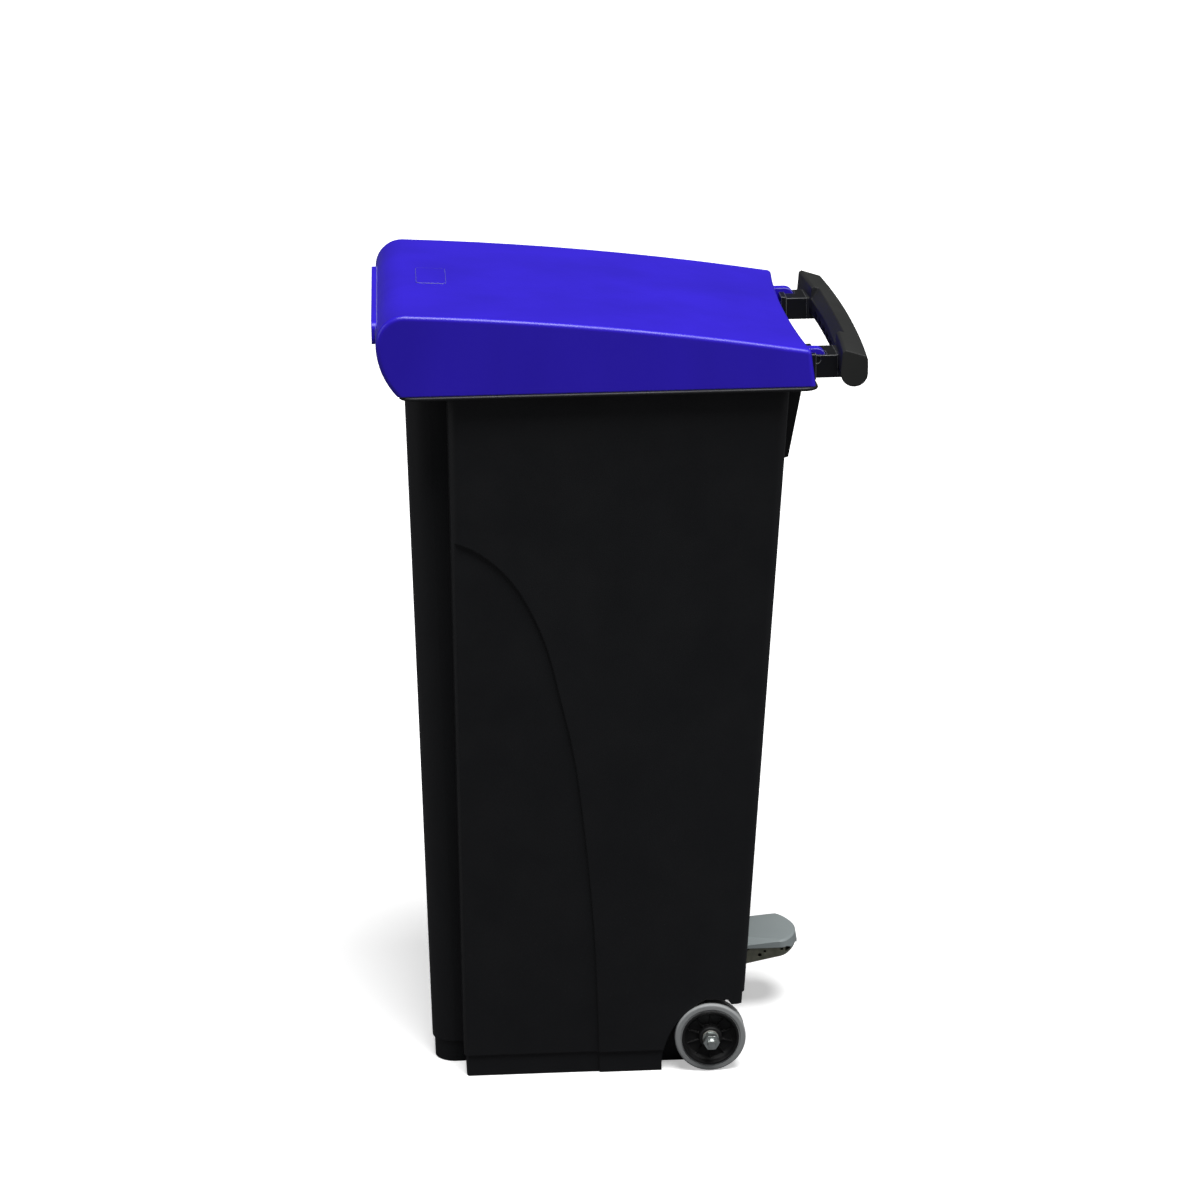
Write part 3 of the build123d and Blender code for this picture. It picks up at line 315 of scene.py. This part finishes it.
buffer_black = moulded("buffer_rubber", (0.018, 0.018, 0.018), (0.012, 0.012, 0.012), 0.65, 0.8)
# Painted highlight: a pale grey mixed in along the lid's sharp edges stands in for the shine of light on its
# rounded edges.
lid_blue.painted_edge_highlight(0.0012, (0.42, 0.42, 0.50))
# Painted highlight: a pale grey mixed in along the tub's sharp edges above 0.784 m, at the rim, stands in for
# the shine of light on the rim's rounded nose.
tub_black.painted_edge_highlight(0.0014, (0.34, 0.35, 0.36), above=0.784)
zinc = plated("zinc_steel", (0.80, 0.85, 0.83), (0.66, 0.71, 0.69), 0.28, 0.44)
olive = plated("olive_steel", (0.42, 0.42, 0.33), (0.30, 0.31, 0.24), 0.38, 0.55)

FINISH_OF_SLOT = {
    "body_black": tub_black, "lid_blue": lid_blue, "grip_black": grip_black, "zinc_steel": zinc,
    "olive_steel": olive, "pedal_grey": pedal_grey, "tyre_grey": tyre_grey, "hub_black": hub_black,
    "bush_nylon": nylon, "buffer_rubber": buffer_black,
}


def give_finish(obj, finish):
    """Puts one material in every slot of an object."""
    if not obj.data.materials:
        obj.data.materials.append(finish.material)
    for place in obj.material_slots:
        place.material = finish.material


for entry in frame["record"]["subparts"]:
    give_finish(frame["nodes"][entry["node"]], FINISH_OF_SLOT[entry["material_slot"]])

# %% [markdown]
# ## Modelling helpers
# Every new piece starts as a primitive and is shaped in edit mode. An operator acts on whatever is
# selected, so these helpers first clear the selection and then pick faces, edges or points by where
# they are. A finished piece keeps its object at the origin, with its place in its mesh.

# %% Modelling helpers
WHEEL_CENTRE = Vector((0.0, 0.090, 0.040))
WHEEL_IN, WHEEL_OUT = 0.1768, 0.2008      # inner and outer face of a wheel, along the axle


def clean_start():
    if bpy.context.object and bpy.context.object.mode != "OBJECT":
        bpy.ops.object.mode_set(mode="OBJECT")
    bpy.ops.object.select_all(action="DESELECT")


def begin(name):
    """Names the primitive just added, bakes its place into its mesh and opens it for editing."""
    piece = bpy.context.object
    piece.name = name
    piece.data.name = name
    bpy.ops.object.transform_apply(location=True, rotation=True, scale=True)
    bpy.ops.object.mode_set(mode="EDIT")
    bpy.ops.mesh.select_all(action="DESELECT")
    return piece


def pick(kind, test):
    """Selects the points, edges or faces whose centre passes the test, and only those."""
    bpy.ops.mesh.select_mode(type={"verts": "VERT", "edges": "EDGE", "faces": "FACE"}[kind])
    bpy.ops.mesh.select_all(action="DESELECT")
    mesh = bmesh.from_edit_mesh(bpy.context.object.data)
    found = 0
    for part in getattr(mesh, kind):
        if kind == "verts":
            centre = part.co
        elif kind == "edges":
            centre = (part.verts[0].co + part.verts[1].co) / 2
        else:
            centre = part.calc_center_median()
        if test(centre, part):
            part.select_set(True)
            found += 1
    mesh.select_flush_mode()
    bmesh.update_edit_mesh(bpy.context.object.data)
    return found


def from_axle(point):
    """Distance of a point from the axle's line."""
    return math.hypot(point.y - WHEEL_CENTRE.y, point.z - WHEEL_CENTRE.z)


def close_up(smooth_angle=32):
    """Merges doubles, turns faces outwards, shades smooth up to an angle and leaves edit mode."""
    bpy.ops.mesh.select_all(action="SELECT")
    bpy.ops.mesh.remove_doubles(threshold=0.00001)
    bpy.ops.mesh.normals_make_consistent(inside=False)
    bpy.ops.object.mode_set(mode="OBJECT")
    bpy.ops.object.shade_smooth_by_angle(angle=math.radians(smooth_angle))
    return bpy.context.object


def to_other_side(piece, name):
    """A mirror image across the middle of the bin, with its own mesh."""
    clean_start()
    twin = piece.copy()
    twin.data = piece.data.copy()
    scene_objects.link(twin)
    twin.name = twin.data.name = name
    bpy.context.view_layer.objects.active = twin
    twin.select_set(True)
    bpy.ops.object.mode_set(mode="EDIT")
    bpy.ops.mesh.select_all(action="SELECT")
    bpy.ops.transform.mirror(constraint_axis=(True, False, False), center_override=(0, 0, 0))
    bpy.ops.mesh.normals_make_consistent(inside=False)
    bpy.ops.object.mode_set(mode="OBJECT")
    return twin


def settle(piece, body, finish, slot_name, *nodes):
    """Gives a piece its body and finish, and hides the solids it stands for."""
    give_finish(piece, finish)
    if nodes:
        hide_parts(*nodes)
    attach(piece, body)
    triangles = sum(len(face.vertices) - 2 for face in piece.data.polygons)
    print(piece.name, triangles, "triangles")


# %% [markdown]
# ## Tyres
# Each tyre is a solid ring of grey rubber pressed round the hub: flat sides with a shallow step at
# the hub, round shoulders and a slightly crowned tread with a parting line from its mould. A ring
# could be spun from a section; here a cylinder gets inset ends that are opened and bridged, because
# that keeps the loops tidy for the bevels.

# %% Tyres


def around(name, radius, x0, x1, sides=96):
    """A cylinder about the axle's line between two places along it, opened for editing."""
    clean_start()
    bpy.ops.mesh.primitive_cylinder_add(
        vertices=sides, radius=radius, depth=x1 - x0, rotation=(0, math.pi / 2, 0),
        location=((x0 + x1) / 2, WHEEL_CENTRE.y, WHEEL_CENTRE.z),
    )
    return begin(name)


def end_faces(x0, x1):
    """Picks the two big round ends."""
    return pick("faces", lambda c, f: len(f.verts) > 8 and (abs(c.x - x0) < 1e-4 or abs(c.x - x1) < 1e-4))


def open_bore(x0, x1):
    """Removes the two picked round ends and joins their rims into a bore."""
    bpy.ops.mesh.delete(type="FACE")
    bpy.ops.mesh.select_mode(type="EDGE")
    bpy.ops.mesh.select_all(action="DESELECT")
    mesh = bmesh.from_edit_mesh(bpy.context.object.data)
    for edge in mesh.edges:
        edge.select_set(edge.is_boundary)
    bmesh.update_edit_mesh(bpy.context.object.data)
    bpy.ops.mesh.bridge_edge_loops()


def make_tyre(name):
    x0, x1, radius, bore = WHEEL_IN + 0.001, WHEEL_OUT - 0.001, 0.0400, 0.0322
    middle = (x0 + x1) / 2
    piece = around(name, radius, x0, x1)
    end_faces(x0, x1)
    bpy.ops.mesh.inset(thickness=0.0058)
    bpy.ops.mesh.inset(thickness=0.0006, depth=-0.0006)
    end_faces(x0 + 0.0006, x1 - 0.0006)
    bpy.ops.mesh.inset(thickness=radius - bore - 0.0064)
    open_bore(x0, x1)
    pick("edges", lambda c, e: from_axle(c) > radius - 0.0003 and abs(c.x - middle) > 0.010)
    bpy.ops.mesh.bevel(offset=0.0022, segments=6, profile=0.55)
    for step in (-0.0003, 0.0003):
        bpy.ops.mesh.select_all(action="SELECT")
        bpy.ops.mesh.bisect(plane_co=(middle + step, 0, 0), plane_no=(1, 0, 0))
    pick("verts", lambda c, v: from_axle(c) > radius - 0.001 and 0.0002 < abs(c.x - middle) < 0.0004)
    bpy.ops.transform.resize(value=(1, 0.996, 0.996), center_override=(middle, *WHEEL_CENTRE[1:]))
    close_up()
    return piece


tyre_right = make_tyre("tyre_ring_right")
tyre_left = to_other_side(tyre_right, "tyre_ring_left")
settle(tyre_right, "wheel_right", tyre_grey, "tyre_grey", "tyre_right")
settle(tyre_left, "wheel_left", tyre_grey, "tyre_grey", "tyre_left")

# %% [markdown]
# ## Wheel hubs
# The hub is a black moulded dish on both sides: a thin rim under the tyre, a web that falls away to
# a flat floor, thin radial ribs and a raised nave round the bearing. Repeated insets with a little
# depth each time make the dish from the ends of one cylinder, and the ribs are one bar turned round
# the axle.

# %% Wheel hubs


def deepen(thickness, depth):
    bpy.ops.mesh.inset(thickness=thickness, depth=depth)


def make_hub(name):
    x0, x1, rim, bore = WHEEL_IN, WHEEL_OUT, 0.03215, 0.00905
    piece = around(name, rim, x0, x1)
    end_faces(x0, x1)
    deepen(0.0004, 0.0)
    deepen(0.0018, 0.0)
    deepen(0.0014, -0.0052)
    deepen(0.0030, -0.0030)
    deepen(0.0110, -0.0006)
    deepen(0.0012, 0.0008)
    deepen(0.0008, 0.0070)
    deepen(0.0006, 0.0006)
    deepen(rim - 0.0202 - bore, 0.0)
    open_bore(x0, x1)
    pick("edges", lambda c, e: from_axle(c) > rim - 0.00005 and abs(c.x - (x0 + x1) / 2) > 0.011)
    bpy.ops.mesh.bevel(offset=0.0003, segments=2)
    close_up(24)
    return piece


def make_ribs(name, count=10):
    """Thin upright fins between nave and rim, on the outer side of the dish."""
    floor, top = WHEEL_OUT - 0.0095, WHEEL_OUT - 0.0058
    clean_start()
    bpy.ops.mesh.primitive_cube_add(
        size=1, scale=(top - floor, 0.0011, 0.0150),
        location=((floor + top) / 2, WHEEL_CENTRE.y, WHEEL_CENTRE.z + 0.0200),
    )
    piece = begin(name)
    pick("verts", lambda c, v: c.x > (floor + top) / 2 and c.z > WHEEL_CENTRE.z + 0.020)
    bpy.ops.transform.translate(value=(-0.0012, 0, 0))
    pick("edges", lambda c, e: c.x > (floor + top) / 2 - 0.001 and abs(c.y - WHEEL_CENTRE.y) > 0.0003)
    bpy.ops.mesh.bevel(offset=0.0003, segments=2)
    bpy.ops.mesh.select_all(action="SELECT")
    bpy.ops.mesh.spin(
        steps=count - 1, dupli=True, angle=2 * math.pi * (count - 1) / count,
        center=WHEEL_CENTRE, axis=(1, 0, 0),
    )
    close_up()
    return piece


hub_right = make_hub("hub_dish_right")
ribs = make_ribs("hub_ribs")
clean_start()
ribs.select_set(True)
hub_right.select_set(True)
bpy.context.view_layer.objects.active = hub_right
bpy.ops.object.join()
hub_left = to_other_side(hub_right, "hub_dish_left")
settle(hub_right, "wheel_right", hub_black, "hub_black", "wheel_hub_right")
settle(hub_left, "wheel_left", hub_black, "hub_black", "wheel_hub_left")

# %% [markdown]
# ## Nuts and axle
# Plated nuts hold the wheels. Each is six-sided with a chamfered face and a bore with a countersunk
# mouth, and the axle's end shows its thread. The thread is cut as rings: planes divide the end into
# short lengths and every other ring of points is drawn in.

# %% Nuts
NUT_START, NUT_THICK, NUT_FLAT = 0.2038, 0.0105, 0.0080


def make_nut(name):
    """A round blank whose side points are drawn out to six corners, then dropped for the chamfer."""
    x0, x1 = NUT_START, NUT_START + NUT_THICK
    piece = around(name, NUT_FLAT, x0, x1, 24)
    end_faces(x0, x1)
    deepen(0.0003, 0.0)
    deepen(NUT_FLAT - 0.0003 - 0.0056, 0.0)
    deepen(0.0005, -0.0005)
    open_bore(x0, x1)

    def corner_step(point):
        turn = math.degrees(math.atan2(point.z - WHEEL_CENTRE.z, point.y - WHEEL_CENTRE.y)) % 60
        return min(turn, 60 - turn)

    for step in (0, 15):
        grow = 1 / math.cos(math.radians(30 - step))
        drop = NUT_FLAT * (grow - 1) * 0.577
        pick("verts", lambda c, v: from_axle(c) > NUT_FLAT - 1e-4 and abs(corner_step(c) - step) < 2)
        bpy.ops.transform.resize(value=(1, grow, grow), center_override=((x0 + x1) / 2, *WHEEL_CENTRE[1:]))
        for place, way in ((x0, 1), (x1, -1)):
            reach = NUT_FLAT * grow - 1e-4
            pick("verts", lambda c, v: abs(c.x - place) < 1e-5 and abs(from_axle(c) - reach - 1e-4) < 1e-5
                 and abs(corner_step(c) - step) < 2)
            bpy.ops.transform.translate(value=(way * drop, 0, 0))
    close_up(28)
    return piece


def ring_cut_axle(name):
    """The axle with its shoulder and both threaded ends."""
    shoulder, end = 0.2018, 0.2188
    piece = around(name, 0.0060, -shoulder, shoulder, 48)
    end_faces(-shoulder, shoulder)
    bpy.ops.mesh.inset(thickness=0.0010)
    bpy.ops.mesh.extrude_region_shrink_fatten(TRANSFORM_OT_shrink_fatten={"value": end - shoulder})
    pitch, depth = 0.0015, 0.88
    rings = int((end - shoulder) / (pitch / 2)) - 1
    for side in (-1, 1):
        for i in range(1, rings + 1):
            bpy.ops.mesh.select_all(action="SELECT")
            bpy.ops.mesh.bisect(plane_co=(side * (shoulder + i * pitch / 2), 0, 0), plane_no=(1, 0, 0))

    def in_groove(point):
        step = (abs(point.x) - shoulder) / (pitch / 2)
        return step > 0.5 and abs(step - round(step)) < 0.05 and round(step) % 2 == 1 and round(step) <= rings

    pick("verts", lambda c, v: in_groove(c))
    bpy.ops.transform.resize(value=(1, depth, depth), center_override=(0, WHEEL_CENTRE.y, WHEEL_CENTRE.z))
    pick("verts", lambda c, v: abs(c.x) > end - 1e-5)
    bpy.ops.transform.resize(value=(1, 0.80, 0.80), center_override=(0, WHEEL_CENTRE.y, WHEEL_CENTRE.z))
    close_up(50)
    return piece


axle_bar = ring_cut_axle("axle_bar")
settle(axle_bar, "bin", zinc, "zinc_steel", "axle")
nut_right = make_nut("hex_nut_right")
nut_left = to_other_side(nut_right, "hex_nut_left")
settle(nut_right, "bin", zinc, "zinc_steel", "axle_nut_right")
settle(nut_left, "bin", zinc, "zinc_steel", "axle_nut_left")
